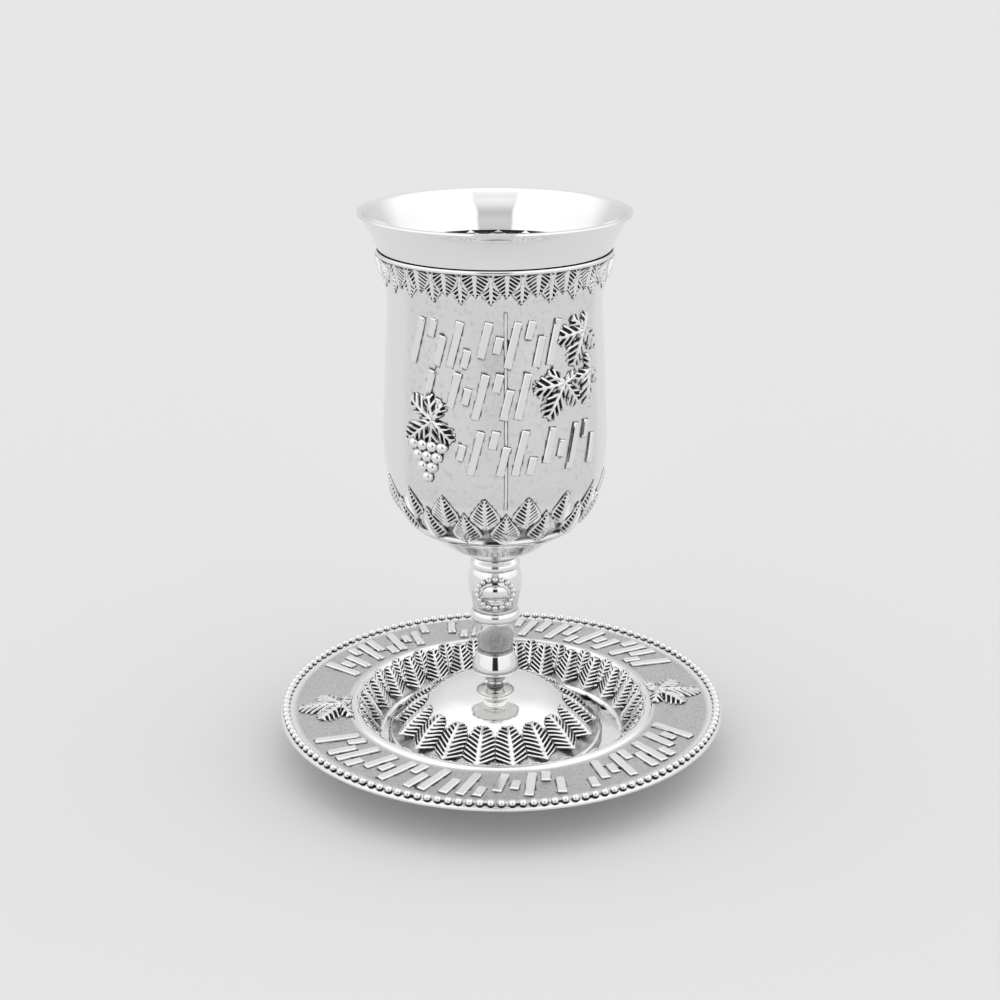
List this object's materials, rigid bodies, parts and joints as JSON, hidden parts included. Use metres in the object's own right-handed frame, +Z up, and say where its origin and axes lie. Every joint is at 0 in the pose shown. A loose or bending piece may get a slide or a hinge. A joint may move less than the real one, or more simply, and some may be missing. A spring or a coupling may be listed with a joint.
{
  "type": "kiddush cup",
  "caption": "Cast goblet with a smooth flared liner, leaf bands, vine leaves and a baluster stem on a domed foot, standing loose in a matching deep-welled saucer with a beaded edge",
  "frame": {"origin": "middle of the saucer's underside, on the surface that the set stands on", "axes": "+Z up along the cup, -Y towards the cup's front, +X to the right seen from the front"},
  "size_m": [0.131, 0.131, 0.16],
  "materials": {
    "polished_liner": "mirror polished silver-coloured plating",
    "cast_bowl": "silver-coloured plating on a cast, polished on high spots, soft matte ground, oxidised recesses",
    "cast_stem": "silver-coloured plating, polished, oxidised recesses round the medallions",
    "cast_foot": "silver-coloured plating, mirror polished dome, oxidised recesses between the leaves",
    "cast_saucer": "silver-coloured plating, fine grainy matte border, polished strokes, well floor and beads"
  },
  "bodies": {
    "root": {"inner_cup": "polished_liner", "bowl_sleeve": "cast_bowl", "stem": "cast_stem", "foot": "cast_foot", "saucer": "cast_saucer"}
  },
  "joints": []
}
